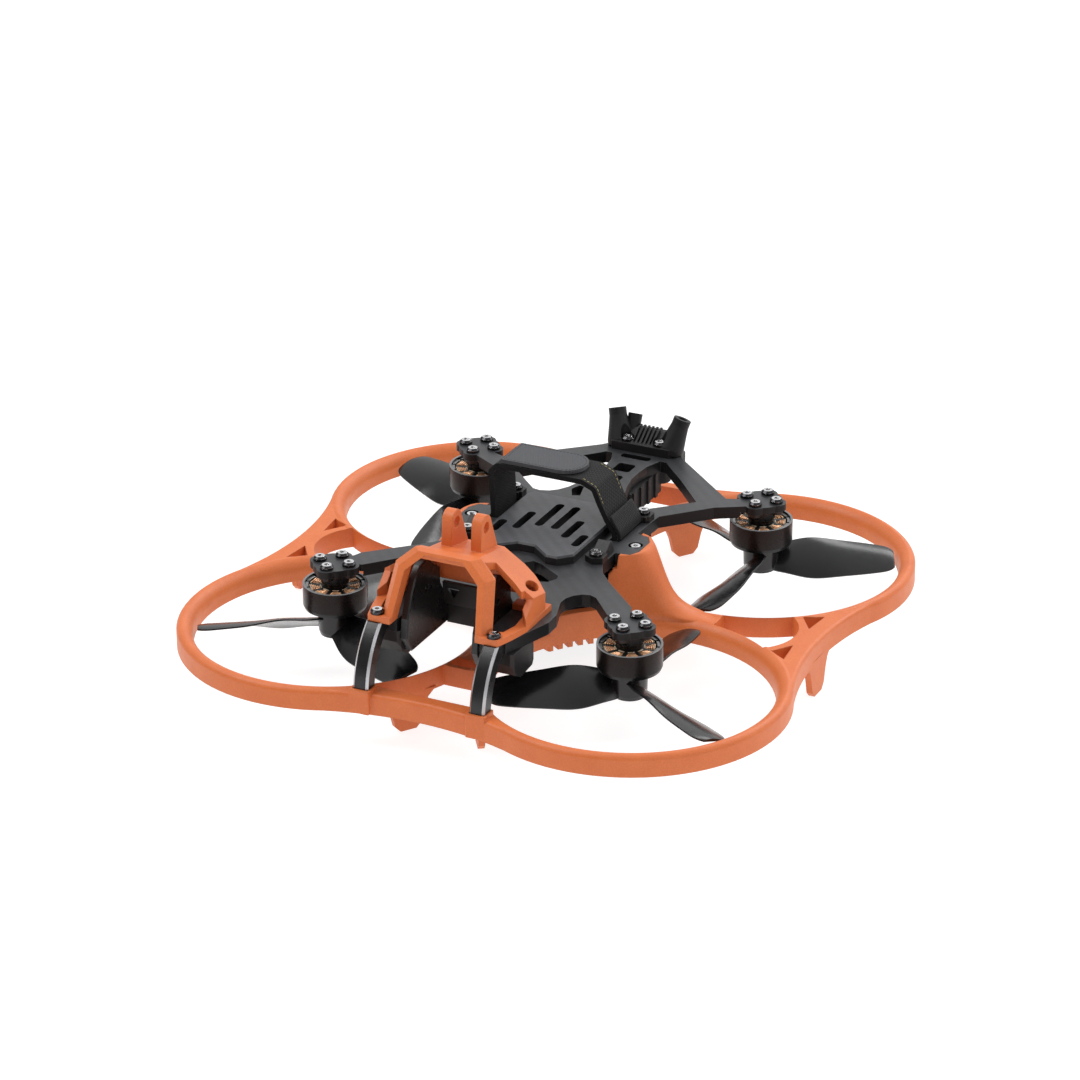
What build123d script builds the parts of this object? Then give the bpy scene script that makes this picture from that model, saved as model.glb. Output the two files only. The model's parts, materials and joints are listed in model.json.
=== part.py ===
"""Three-inch ducted FPV racing drone, with its four rotors hung under the arms.

Frame: millimetres. The origin is on the ground under the middle of the motor square,
+Z is up, the nose points toward -Y and +X is the drone's left-hand side.
"""
from build123d import *
from math import atan, cos, degrees, pi, radians, sin, sqrt
import os

# ---------------------------------------------------------------- driving dimensions
MOTOR_XY = 44.55            # motor axes sit at (+-MOTOR_XY, +-MOTOR_XY): 126 mm wheelbase
PROP_RADIUS = 38.1          # three-inch propeller
RING_INNER = 39.3           # duct bore radius
RING_OUTER = 44.0           # duct outside radius
RING_WALL = 41.7            # outside of the duct wall where pockets lie behind it
RING_BOTTOM = 10.0
RING_EDGE = 14.9            # top of the flat outer wall
RING_CREST = 16.2           # top of the rolled lip
THROAT_TOP = 12.6           # where the lip's inside roll meets the straight bore
WEB_TOP = RING_CREST - 0.25 # flat top of the webs between the ducts
PLATE_TOP = 33.2            # top face of the carbon top plate
PLATE_T = 3.5
PLATE_BOTTOM = PLATE_TOP - PLATE_T
WAIST_X = 81.0              # outside of the waist between two ducts, left and right
WAIST_Y = 80.5              # outside of the waist, front and rear
FOOT_DROP = RING_BOTTOM     # the feet reach from the duct's bottom edge to the ground

# fasteners: M2 button heads with a hexagon socket
M2_R = 1.0
HEAD_R = 1.9
HEAD_H = 1.3
FREE_HOLE = 1.1             # clearance hole radius
TAP_HOLE = 1.02             # tapped hole radius, a hair over the screw

# motor, 1404 size, all radii from its axis
BELL_R = 8.95
BELL_WALL = 0.65
BELL_TOP = 27.3
BELL_BOTTOM = 19.8
BELL_FLOOR = 1.1
PAD_T = 2.0                 # the arm is thinner where the motor is bolted on
PAD_RECESS_R = 8.0
STATOR_R = 7.0
STATOR_Z = (22.5, 26.4)
COIL_Z = (21.9, 27.0)
MAGNET_Z = (22.3, 26.8)
MAGNET_IN = 7.35
TUBE_R = 3.45
TUBE_BOTTOM = 21.6
NECK_R = 3.9
BEARING_R = 2.0
BEARING_T = 1.5
SHAFT_R = 0.75
BOLT_CIRCLE_R = 4.5
TEETH = 9
POLES = 12

# propeller
HUB_TOP_R = 5.0
HUB_BOTTOM_R = 4.45
HUB_BOTTOM = 12.1
BLADES = 3
BLADE_LEAD = 70.0           # advance per turn, which sets the twist
BLADE_MAX_PITCH = 34.0
BLADE_ROOT_Z = 15.2
BLADE_TIP_Z = 14.1
BLADE_CHORDS = [(3.0, 8.2), (7.0, 10.3), (11.0, 12.4), (16.0, 13.5), (22.0, 13.2), (28.0, 12.5),
                (33.0, 11.4), (36.5, 9.6), (PROP_RADIUS, 6.6)]
PROP_SCREW_R = 2.5          # two screws on a 5 mm spacing
PAN_R = 1.5                 # their small pan heads sit flush in the hub
PROP_SCREW_SEAT = HUB_BOTTOM + 1.0

# corner name: (sign of x, sign of y, spin seen from above: +1 anticlockwise, blade angle)
CORNERS = {
    "front_left": (1, -1, -1, 90.0),
    "front_right": (-1, -1, 1, 88.0),
    "rear_left": (1, 1, 1, 27.0),
    "rear_right": (-1, 1, -1, 31.0),
}


# ---------------------------------------------------------------- helpers
def save(shape, node):
    """Write one node's STEP file."""
    export_step(shape, f"parts/{node}.step")


def slab(points, z0, z1):
    """Closed outline in plan, extruded from z0 to z1."""
    face = make_face(Polyline(*points, close=True))
    return Pos(0, 0, z0) * extrude(face, z1 - z0)


def disc(radius, z0, z1, x=0.0, y=0.0):
    """Upright cylinder."""
    return Pos(x, y, (z0 + z1) / 2) * Cylinder(radius, z1 - z0)


def block(x0, x1, y0, y1, z0, z1):
    """Box from its limits."""
    return Pos((x0 + x1) / 2, (y0 + y1) / 2, (z0 + z1) / 2) * Box(x1 - x0, y1 - y0, z1 - z0)


def turned(points):
    """Solid of revolution about Z from (radius, z) points."""
    return revolve(make_face(Polyline(*[(r, 0, z) for r, z in points], close=True)), Axis.Z)


def side_slab(points, x0, x1):
    """Closed (y, z) outline, extruded from x0 to x1."""
    face = make_face(Polyline(*[(x0, y, z) for y, z in points], close=True))
    return extrude(face, x1 - x0, dir=(1, 0, 0))


def both_sides(shape):
    """The shape and its mirror image across the centre plane."""
    return [shape, mirror(shape, Plane.YZ)]


def group(shapes):
    """Several solids in one node."""
    return Compound(children=[s.solid() for s in shapes])


def button_screw(x, y, seat, length, up=1):
    """M2 screw whose head sits on z = seat, its shank running the other way."""
    head = Cylinder(HEAD_R, HEAD_H)
    head = chamfer(head.edges().group_by(Axis.Z)[-1], 0.55)
    socket = Pos(0, 0, HEAD_H / 2 - 0.35) * extrude(RegularPolygon(0.7, 6), 0.4)
    screw = Pos(0, 0, HEAD_H / 2) * (head - socket)
    screw += Pos(0, 0, -length / 2) * Cylinder(M2_R, length)
    turn = Rot(0, 0, 0) if up > 0 else Rot(180, 0, 0)
    return Pos(x, y, seat) * turn * screw


def bolt_circle(cx, cy):
    """The four motor screw positions."""
    return [(cx + BOLT_CIRCLE_R * cos(pi / 2 * k), cy + BOLT_CIRCLE_R * sin(pi / 2 * k))
            for k in range(4)]


# ---------------------------------------------------------------- motor
def motor_base():
    """Mounting flange with the bearing tube, under the arm."""
    seat = PLATE_TOP - PAD_T
    flange_bottom = seat - 1.3
    neck = 27.8
    body = turned([(0, seat), (NECK_R, seat), (NECK_R, neck), (TUBE_R, neck - 0.4),
                   (TUBE_R, TUBE_BOTTOM), (0, TUBE_BOTTOM)])
    for x, y in bolt_circle(0, 0):
        body += disc(1.8, flange_bottom, seat, x, y)
    body -= disc(BEARING_R, TUBE_BOTTOM, TUBE_BOTTOM + BEARING_T)
    body -= disc(1.6, TUBE_BOTTOM, neck)
    body -= disc(BEARING_R, neck - BEARING_T, neck)
    body -= disc(0.95, neck, seat - 0.8)
    for x, y in bolt_circle(0, 0):
        body -= disc(TAP_HOLE, flange_bottom - 1.5, seat, x, y)
    return body


def motor_bearings():
    """Two ball bearings in the tube, as plain rings."""
    rings = []
    for z in (TUBE_BOTTOM, 27.8 - BEARING_T):
        rings.append(disc(BEARING_R, z, z + BEARING_T) - disc(SHAFT_R + 0.02, z, z + BEARING_T))
    return rings


def tooth_angle(k):
    return 360.0 * k / TEETH


def stator():
    """Laminated core: a ring on the tube with nine T-shaped teeth."""
    z0, z1 = STATOR_Z
    core = disc(4.4, z0, z1)
    rim = disc(STATOR_R, z0, z1) - disc(6.35, z0, z1)
    for k in range(TEETH):
        core += Rot(0, 0, tooth_angle(k)) * block(4.0, 6.6, -0.55, 0.55, z0, z1)
        rim -= Rot(0, 0, tooth_angle(k + 0.5)) * block(6.0, 7.5, -0.45, 0.45, z0, z1)
    return core + rim - disc(TUBE_R, z0, z1)


def windings():
    """One copper coil round each tooth."""
    coils = []
    coil_in, coil_out, half = 4.65, 6.25, 1.15
    for k in range(TEETH):
        coil = block(coil_in, coil_out, -half, half, *COIL_Z)
        coil = fillet(coil.edges().filter_by(Axis.X), 0.5)
        coil -= block(4.0, 6.6, -0.55, 0.55, *STATOR_Z)
        coils.append(Rot(0, 0, tooth_angle(k)) * coil)
    return coils


def bell():
    """Turning can: thin wall, vented floor at the bottom and an open rim at the top."""
    floor = BELL_BOTTOM + BELL_FLOOR
    inner = BELL_R - BELL_WALL
    can = turned([(SHAFT_R, BELL_BOTTOM), (BELL_R - 1.3, BELL_BOTTOM), (BELL_R - 0.4, BELL_BOTTOM + 0.4),
                  (BELL_R, BELL_BOTTOM + 1.4), (BELL_R, BELL_TOP), (inner, BELL_TOP), (inner, floor),
                  (1.6, floor), (1.6, floor + 0.3), (SHAFT_R, floor + 0.3)])
    for k in range(6):
        vent = SlotCenterToCenter(1.4, 1.3)
        vent = Pos(0, 0, BELL_BOTTOM - 1) * extrude(Pos(6.1, 0, 0) * vent, 3)
        can -= Rot(0, 0, 60 * k + 30) * vent
    for x in (-PROP_SCREW_R, PROP_SCREW_R):
        can -= disc(TAP_HOLE, BELL_BOTTOM - 1, floor + 1, x, 0)
    return can


def magnets():
    """Twelve curved magnets glued inside the bell."""
    outer = BELL_R - BELL_WALL
    z0, z1 = MAGNET_Z
    arcs = []
    ring = disc(outer, z0, z1) - disc(MAGNET_IN, z0, z1)
    half = radians(12.0)
    reach = 12.0
    for k in range(POLES):
        wedge = slab([(0, 0), (reach * cos(half), -reach * sin(half)),
                      (reach * cos(half), reach * sin(half))], z0, z1)
        arcs.append(Rot(0, 0, 360.0 * k / POLES) * (ring & wedge))
    return arcs


def blade_section(radius, chord, spin):
    """Closed aerofoil across the blade at one radius, leading edge up and forward."""
    pitch = min(radians(BLADE_MAX_PITCH), atan(BLADE_LEAD / (2 * pi * radius)))
    thick = 1.5 - 0.7 * radius / PROP_RADIUS
    camber = 0.055 * chord
    edge = 0.22
    z = BLADE_ROOT_Z + (BLADE_TIP_Z - BLADE_ROOT_Z) * radius / PROP_RADIUS

    def at(along, across):
        y = along * cos(pitch) - across * sin(pitch)
        return (radius, spin * y, z + along * sin(pitch) + across * cos(pitch))

    half = chord / 2
    trailing_top, trailing_low = at(-half, edge), at(-half, -edge)
    leading_top, leading_low = at(half, edge), at(half, -edge)
    upper = Spline(trailing_top, at(0, camber + thick / 2), at(half / 2, camber * 0.75 + thick / 2),
                   leading_top)
    lower = Spline(leading_low, at(half / 2, camber * 0.75 - thick / 2), at(0, camber - thick / 2),
                   trailing_low)
    return make_face([upper, Line(leading_top, leading_low), lower, Line(trailing_low, trailing_top)])


def propeller(spin):
    """Three wide, strongly twisted blades on a tapered hub."""
    blade = loft([blade_section(r, c, spin) for r, c in BLADE_CHORDS])
    hub = turned([(0, HUB_BOTTOM), (HUB_BOTTOM_R, HUB_BOTTOM), (HUB_TOP_R - 0.2, HUB_BOTTOM + 1.2),
                  (HUB_TOP_R, BELL_BOTTOM - 1), (HUB_TOP_R, BELL_BOTTOM), (0, BELL_BOTTOM)])
    prop = hub
    for k in range(BLADES):
        prop += Rot(0, 0, 360.0 * k / BLADES) * blade
    prop -= disc(SHAFT_R, HUB_BOTTOM - 1, BELL_BOTTOM)
    for x in (-PROP_SCREW_R, PROP_SCREW_R):
        prop -= disc(M2_R + 0.03, HUB_BOTTOM - 1, BELL_BOTTOM, x, 0)
        prop -= disc(PAN_R + 0.08, HUB_BOTTOM - 1, PROP_SCREW_SEAT, x, 0)
    return prop


def prop_screws():
    """Two screws from below, through the hub into the bell."""
    top = BELL_BOTTOM + BELL_FLOOR
    screws = []
    for x in (-PROP_SCREW_R, PROP_SCREW_R):
        head = disc(PAN_R, HUB_BOTTOM, PROP_SCREW_SEAT, x, 0)
        head -= Pos(x, 0, HUB_BOTTOM - 0.1) * extrude(RegularPolygon(0.65, 6), 0.7)
        screws.append(head + disc(M2_R, PROP_SCREW_SEAT, top, x, 0))
    return screws


def build_motors():
    """Write each corner's nodes, and the bearings and screws that they share."""
    base, core, can, shaft = motor_base(), stator(), bell(), disc(SHAFT_R, 13.8, 28.4)
    coils, arcs, rings, pair = windings(), magnets(), motor_bearings(), prop_screws()
    props = {spin: propeller(spin) for spin in (-1, 1)}
    all_rings, all_screws = [], []
    for name, (sx, sy, spin, angle) in CORNERS.items():
        cx, cy = sx * MOTOR_XY, sy * MOTOR_XY
        at = Pos(cx, cy, 0)
        turn = at * Rot(0, 0, angle)
        save(at * base, f"motor_base_{name}")
        save(at * core, f"stator_{name}")
        save(group([at * c for c in coils]), f"windings_{name}")
        save(turn * can, f"bell_{name}")
        save(group([turn * m for m in arcs]), f"magnets_{name}")
        save(turn * shaft, f"motor_shaft_{name}")
        save(turn * props[spin], f"propeller_{name}")
        save(group([turn * s for s in pair]), f"prop_screws_{name}")
        all_rings += [at * r for r in rings]
        all_screws += [button_screw(x, y, PLATE_TOP, PAD_T + 1.5) for x, y in bolt_circle(cx, cy)]
    save(group(all_rings), "motor_bearings")
    save(group(all_screws), "motor_screws")


# ---------------------------------------------------------------- frame plates
CLIP_SCREWS = [(19.7, -12.8), (-19.7, -12.8), (19.9, 18.2), (-19.9, 18.2)]
TAB_SCREW_X, TAB_SCREW_Y = 25.3, 1.0
CAGE_SCREW_X, CAGE_SCREW_Y = 17.3, -71.0
ANTENNA_SCREW_X, ANTENNA_SCREW_Y = 5.1, 61.8
STRAP_SLOT = (17.3, 20.3, 0.9, 15.6)       # x0, x1, y0, y1 of the slot on the left
TAB = [(20.0, -6.4), (26.4, -5.4), (27.9, -2.6), (28.0, 4.2), (26.2, 7.4), (20.0, 8.8)]
NOSE_Y = -69.6


def top_plate():
    """Carbon top plate: four arms, two nose beams, a spine and two rear struts."""
    corner = MOTOR_XY
    front = [(0, -46.2), (11.6, -46.2), (12.4, -47.4), (12.4, NOSE_Y), (20.1, NOSE_Y), (21.2, -66.0),
             (22.6, -61.0), (24.9, -53.5), (24.8, -48.5), (22.4, -41.0), (22.5, -38.2), (23.7, -35.7),
             (25.5, -34.0), (27.7, -33.4), (29.9, -34.4), (33.0, -38.0), (37.0, -42.6),
             (corner, -corner), (40.9, -35.6), (28.8, -23.8), (24.7, -19.1), (22.2, -14.0), (0, -14.0)]
    middle = [(0, -14.0), (22.2, -14.0), (22.6, 10.6), (23.2, 21.2), (0, 23.5)]
    rear = [(0, 21.0), (23.2, 21.2), (34.7, 33.5), (42.6, 38.2), (corner, corner), (35.3, 40.6),
            (13.2, 60.6), (11.3, 63.0), (11.3, 66.2), (9.8, 67.6), (0, 67.6)]
    half = slab(front, PLATE_BOTTOM, PLATE_TOP)
    half += slab(middle, PLATE_BOTTOM, PLATE_TOP)
    half += slab(rear, PLATE_BOTTOM, PLATE_TOP)
    half += slab(TAB, PLATE_BOTTOM, PLATE_TOP)
    for sy in (-1, 1):
        half += disc(6.0, PLATE_BOTTOM, PLATE_TOP, corner, sy * corner)
        for x, y in bolt_circle(corner, sy * corner):
            half += disc(2.8, PLATE_BOTTOM, PLATE_TOP, x, y)
    for sy in (-1, 1):
        half -= disc(PAD_RECESS_R, PLATE_BOTTOM - 1, PLATE_TOP - PAD_T, corner, sy * corner)
    low, high = PLATE_BOTTOM - 1, PLATE_TOP + 1
    d_hole = [(7.6, 56.8), (5.8, 51.8), (5.3, 46.5), (5.4, 41.5), (6.5, 35.9), (8.6, 29.2),
              (10.4, 26.2), (12.4, 24.4), (15.0, 23.5), (17.3, 23.9), (28.6, 34.9), (18.8, 46.5),
              (11.2, 54.7), (9.6, 56.6)]
    nose_hole = [(2.6, -22.2), (4.4, -20.2), (7.0, -21.0), (14.6, -26.2), (15.0, -28.0), (13.6, -30.8),
                 (2.6, -34.0)]
    half -= slab(d_hole, low, high)
    half -= slab(nose_hole, low, high)
    half -= slab([(3.0, 25.0), (5.1, 24.0), (7.2, 28.2), (6.2, 31.4), (4.6, 31.0)], low, high)
    x0, x1, y0, y1 = STRAP_SLOT
    half -= block(x0, x1, y0, y1, low, high)
    plate = half + mirror(half, Plane.YZ)
    for width, y0, y1 in ((9.2, 55.0, 57.8), (5.4, 45.4, 51.0), (5.4, 38.0, 42.4)):
        slot = extrude(RectangleRounded(width, y1 - y0, 1.1), high - low)
        plate -= Pos(0, (y0 + y1) / 2, low) * slot
    holes = [p for sx in (-1, 1) for sy in (-1, 1) for p in bolt_circle(sx * corner, sy * corner)]
    holes += CLIP_SCREWS
    holes += [(sx * TAB_SCREW_X, TAB_SCREW_Y) for sx in (-1, 1)]
    holes += [(sx * ANTENNA_SCREW_X, ANTENNA_SCREW_Y) for sx in (-1, 1)]
    for x, y in holes:
        plate -= disc(FREE_HOLE, low, high, x, y)
    for sx in (-1, 1):
        plate -= disc(HEAD_R + 0.15, PLATE_TOP - HEAD_H, high, sx * TAB_SCREW_X, TAB_SCREW_Y)
    return plate


BOTTOM_PLATE_Z = (10.6, 12.6)
BOTTOM_TIP = 25.8
LUG_AT = 23.2
GUARD_SCREW_L = 5.0
STACK_AT = 18.03            # 25.5 mm square pattern, turned by 45 degrees


def around_axes(distance):
    """The four points at one distance from the origin along +-X and +-Y."""
    return [(distance, 0), (0, distance), (-distance, 0), (0, -distance)]


def star(tip, clearance, z0, z1):
    """Four-pointed space left between the ducts, cut square at its tips."""
    shape = block(-tip, tip, -tip, tip, z0, z1)
    for sx in (-1, 1):
        for sy in (-1, 1):
            shape -= disc(RING_WALL + clearance, z0 - 1, z1 + 1, sx * MOTOR_XY, sy * MOTOR_XY)
    return shape


def bottom_plate():
    """Thin carbon floor inside the hub of the guard."""
    plate = star(BOTTOM_TIP, 0.3, *BOTTOM_PLATE_Z)
    for x, y in around_axes(LUG_AT) + around_axes(STACK_AT):
        plate -= disc(FREE_HOLE, 0, 20, x, y)
    return plate


# ---------------------------------------------------------------- prop guard
SOCKET_X = 17.3
STRUT_HALF_W = 2.3
SOCKET_TOP = 17.0
HUB_WALL_TOP = 18.6
HUB_TIP = 22.9              # where the hub's inside ends, under the side tabs
FOOT_T = 1.8
FOOT_R = 40.5               # duct feet stand in the wall, this far from the motor axis
FOOT_LEAN = 34.0


def duct():
    """One duct ring: flat outer wall, crowned lip, and a throat that rolls in to the bore."""
    r0, r1 = RING_INNER, RING_OUTER
    crest = (RING_OUTER - 1.8, 0, RING_CREST)
    edge, throat = (r1, 0, RING_EDGE), (r0, 0, THROAT_TOP)
    outside = Line((r1, 0, RING_BOTTOM), edge)
    shoulder = ThreePointArc(edge, (r1 - 0.6, 0, RING_CREST - 0.4), crest)
    mouth = ThreePointArc(crest, (r0 + 0.85, 0, RING_CREST - 1.25), throat)
    bore = Line(throat, (r0, 0, RING_BOTTOM))
    section = make_face([outside, shoulder, mouth, bore, Line((r0, 0, RING_BOTTOM), (r1, 0, RING_BOTTOM))])
    return revolve(section, Axis.Z)


def waist(reach, angle):
    """Web between two ducts, on the side that faces the given angle."""
    lean = reach - MOTOR_XY
    hollow = (RING_OUTER ** 2 - lean ** 2 - MOTOR_XY ** 2) / (2 * (lean - RING_OUTER))
    far = reach + hollow
    span = sqrt((far - MOTOR_XY) ** 2 + MOTOR_XY ** 2)
    tangent_x = MOTOR_XY + RING_OUTER * (far - MOTOR_XY) / span
    tangent_y = MOTOR_XY - RING_OUTER * MOTOR_XY / span
    web = slab([(BOTTOM_TIP, -tangent_y), (tangent_x, -tangent_y), (tangent_x, tangent_y),
                (BOTTOM_TIP, tangent_y)], RING_BOTTOM, WEB_TOP)
    hollow += 0.12          # crosses the ring's side instead of touching it
    web -= disc(hollow, 0, 30, far, 0)
    rim = [e for e in web.edges().filter_by(GeomType.CIRCLE)
           if abs(e.radius - hollow) < 0.01 and e.center().Z > RING_EDGE]
    web = fillet(rim, 1.1)
    for sy in (-1, 1):
        web -= disc(RING_WALL, 0, 30, MOTOR_XY, sy * MOTOR_XY)
    return Rot(0, 0, angle) * web


def between_walls(x0, x1, angle):
    """Space between two duct walls, from x0 to x1 outward along the given angle."""
    gap = block(x0, x1, -20, 20, 0, 30)
    for sy in (-1, 1):
        gap -= disc(RING_WALL, -1, 31, MOTOR_XY, sy * MOTOR_XY)
    return Rot(0, 0, angle) * gap


def side_pockets(angle):
    """Long slot and two triangular pockets in the left or right waist."""
    slot = between_walls(51.0, 76.0, 0) & disc(13.8, 0, 30, 60.0, 0)
    pockets = slot
    for sy in (-1, 1):
        pockets += slab([(71.4, sy * 11.6), (76.6, sy * 14.6), (75.6, sy * 5.6)], 0, 30)
    return Rot(0, 0, angle) * pockets


SADDLE_LEVELS = {
    # height: half outline from the front edge round the nose to the rear edge
    12.0: [(22.0, -11.0), (24.0, -10.1), (30.0, -7.0), (37.0, -4.9), (44.0, -3.7), (49.5, 0.0),
           (44.0, 3.7), (37.0, 4.9), (30.0, 7.0), (24.0, 10.1), (22.0, 11.0)],
    16.2: [(22.0, -11.8), (24.0, -10.9), (29.6, -7.7), (36.4, -5.3), (43.4, -3.7), (48.5, 0.0),
           (43.4, 3.7), (36.4, 5.3), (29.6, 7.7), (24.0, 10.9), (22.0, 11.8)],
    18.0: [(22.0, -11.4), (24.0, -10.5), (28.4, -7.9), (33.4, -5.7), (38.0, -3.9), (41.0, 0.2),
           (38.0, 4.1), (33.4, 5.9), (28.4, 8.1), (24.0, 10.6), (22.0, 11.4)],
    21.3: [(22.0, -11.0), (24.0, -10.0), (27.4, -7.8), (31.0, -5.8), (34.6, -3.8), (36.6, 0.4),
           (34.7, 4.3), (31.2, 6.3), (27.5, 8.3), (24.0, 10.3), (22.0, 11.1)],
    25.2: [(22.0, -10.3), (24.0, -9.4), (26.8, -7.5), (29.8, -5.6), (32.6, -3.5), (34.1, 0.6),
           (32.8, 4.5), (30.1, 6.7), (27.0, 8.5), (24.0, 10.0), (22.0, 10.6)],
    29.4: [(22.0, -9.2), (24.0, -8.4), (26.4, -6.8), (28.9, -5.0), (30.9, -2.9), (31.9, 0.8),
           (31.1, 4.6), (29.2, 7.0), (26.7, 8.6), (24.0, 9.7), (22.0, 10.1)],
    33.2: [(22.0, -7.7), (24.0, -7.0), (26.0, -5.9), (27.7, -4.5), (28.9, -2.5), (29.3, 0.9),
           (28.9, 4.3), (27.8, 6.7), (26.2, 8.2), (24.0, 9.1), (22.0, 9.5)],
}


def saddle():
    """Fairing that sweeps from the duct lips up to the left side tab of the top plate."""
    faces = []
    for z, outline in SADDLE_LEVELS.items():
        points = [(x, y, z) for x, y in outline]
        faces.append(make_face([Spline(*points), Line(points[-1], points[0])]))
    return loft(faces)


def foot(x, y, along, thickness):
    """Tapered tab that hangs from the duct to the ground; along is its direction in plan."""
    half = [(8.6, RING_BOTTOM + 1), (6.2, RING_BOTTOM - 1.4), (5.1, RING_BOTTOM - 4.0), (4.0, 1.6), (2.4, 0)]
    outline = [(x, 0, z) for x, z in half] + [(-x, 0, z) for x, z in reversed(half)]
    tab = extrude(make_face(Polyline(*outline, close=True)), thickness / 2, dir=(0, 1, 0), both=True)
    return Pos(x, y, 0) * Rot(0, 0, along) * tab


def hub_walls():
    """Taller duct walls round the middle of the guard, with a toothed lower edge."""
    walls = None
    for k in range(4):
        ring = disc(RING_WALL, RING_BOTTOM - 1.5, HUB_WALL_TOP, MOTOR_XY, MOTOR_XY)
        ring -= disc(RING_INNER, 0, 30, MOTOR_XY, MOTOR_XY)
        for j in range(6):
            tooth_gap = block(RING_INNER - 1, RING_WALL + 1, -0.75, 0.75, 0, RING_BOTTOM)
            ring -= Pos(MOTOR_XY, MOTOR_XY, 0) * Rot(0, 0, 218.2 + 4.4 * j) * tooth_gap
        groove = disc(RING_INNER + 0.6, RING_BOTTOM + 0.6, RING_BOTTOM + 1.5, MOTOR_XY, MOTOR_XY)
        ring -= groove & block(4.2, 19.0, 4.2, 19.0, 0, 30)
        wall = Rot(0, 0, 90 * k) * (ring & block(0, 24, 0, 24, 0, 30))
        walls = wall if walls is None else walls + wall
    return walls


def duct_ring_foot(sx, sy):
    """Foot under a duct wall beside the front or rear waist."""
    lean = radians(FOOT_LEAN)
    x = MOTOR_XY - FOOT_R * cos(lean)
    y = MOTOR_XY + FOOT_R * sin(lean)
    return foot(sx * x, sy * y, sx * sy * (90 - FOOT_LEAN), FOOT_T)


def strut_socket(sx):
    """Small rounded collar round the lower end of a nose strut."""
    collar = block(-2.95, 2.95, -82.8, -77.2, RING_BOTTOM + 0.3, SOCKET_TOP)
    collar = fillet(collar.edges().filter_by(Axis.Z), 0.5)
    return Pos(sx * SOCKET_X, 0, 0) * collar


def prop_guard():
    """One-piece guard: four ducts, webs, saddles, strut sockets and six feet."""
    guard = hub_walls()
    for sx in (-1, 1):
        for sy in (-1, 1):
            guard += Pos(sx * MOTOR_XY, sy * MOTOR_XY, 0) * duct()
    for angle, reach in ((0, WAIST_X), (90, WAIST_Y), (180, WAIST_X), (270, WAIST_Y)):
        guard += waist(reach, angle)
    left_saddle = saddle()
    guard += left_saddle
    guard += mirror(left_saddle, Plane.YZ)
    for sx in (-1, 1):
        guard += strut_socket(sx)
    guard -= star(BOTTOM_TIP + 0.3, 0.0, 0, BOTTOM_PLATE_Z[1] + 0.2)
    guard -= star(HUB_TIP, 0.0, BOTTOM_PLATE_Z[1], 40)
    for angle in (0, 180):
        guard -= side_pockets(angle)
    for angle in (90, 270):
        guard -= between_walls(57.2, 76.4, angle)
        guard -= between_walls(51.5, 55.7, angle)
    for angle in (90, 270):
        lug = block(LUG_AT - 2.6, BOTTOM_TIP + 1.0, -3.2, 3.2, BOTTOM_PLATE_Z[1], 16.2)
        guard += Rot(0, 0, angle) * lug
    for sx in (-1, 1):
        for sy in (-1, 1):
            guard += duct_ring_foot(sx, sy)
        guard += foot(sx * (WAIST_X - FOOT_T / 2), 0, 90, FOOT_T)
    for sx in (-1, 1):
        for sy in (-1, 1):
            guard -= disc(RING_INNER, 0, 60, sx * MOTOR_XY, sy * MOTOR_XY)
    tab_space = slab([(x + 0.1 if x > 21 else x - 2, y * 1.02) for x, y in TAB], PLATE_BOTTOM, 50)
    tab_space += block(18, 23.9, -12, 12, PLATE_BOTTOM, 50)
    guard -= tab_space
    guard -= mirror(tab_space, Plane.YZ)
    for sx in (-1, 1):
        guard -= disc(TAP_HOLE, 24.0, 40, sx * TAB_SCREW_X, TAB_SCREW_Y)
        guard -= strut_space(sx)
    for x, y in around_axes(LUG_AT):
        guard -= disc(TAP_HOLE, 0, 15.7, x, y)
    return guard


# ---------------------------------------------------------------- nose struts and brackets
def strut_profile():
    """Outline of a nose strut seen from the side, as a face on x = 0."""
    front = ThreePointArc((0, -73.6, PLATE_TOP), (0, -79.6, 25.2), (0, -81.8, 12.4))
    back = ThreePointArc((0, -77.9, 12.4), (0, -75.6, 23.6), (0, -69.8, 30.6))
    lines = [front, Line((0, -81.8, 12.4), (0, -77.9, 12.4)), back,
             Line((0, -69.8, 30.6), (0, -69.8, PLATE_TOP)),
             Line((0, -69.8, PLATE_TOP), (0, -73.6, PLATE_TOP))]
    return make_face(lines)


def front_strut(sx):
    """Curved aluminium bar from the cage foot into the guard's socket."""
    bar = extrude(strut_profile(), STRUT_HALF_W, dir=(1, 0, 0), both=True)
    front_edges = [e for e in bar.edges().filter_by(GeomType.CIRCLE) if (e @ 0.5).Y < -77.5]
    bar = chamfer(front_edges, 0.65)
    bar -= disc(TAP_HOLE, PLATE_TOP - 6.0, PLATE_TOP + 1, 0, CAGE_SCREW_Y)
    return Pos(sx * SOCKET_X, 0, 0) * bar


def strut_space(sx):
    """Pocket in the guard that takes the strut's lower end."""
    width = STRUT_HALF_W + 0.05
    bar = extrude(strut_profile(), width, dir=(1, 0, 0), both=True)
    return Pos(sx * SOCKET_X, 0, 0) * bar


def strut_brackets():
    """Moulded blocks under the nose beams, behind the struts."""
    outline = [(-69.3, PLATE_BOTTOM), (-57.5, PLATE_BOTTOM), (-56.0, 28.0), (-56.0, 24.6),
               (-57.6, 22.0), (-64.6, 21.4), (-67.6, 23.0), (-69.3, 26.5)]
    body = side_slab(outline, CAMERA_PLATE_OUT, 22.0)
    body = chamfer(body.edges().filter_by(Axis.Z), 0.8)
    body -= block(14.6, 19.6, -65.2, -59.4, 20.0, 27.0)
    return both_sides(body)


# ---------------------------------------------------------------- camera cage
CAGE_FOOT_TOP = 35.0
CAGE_LEAN = 0.392           # how far the front frame leans back for each mm of height


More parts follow.
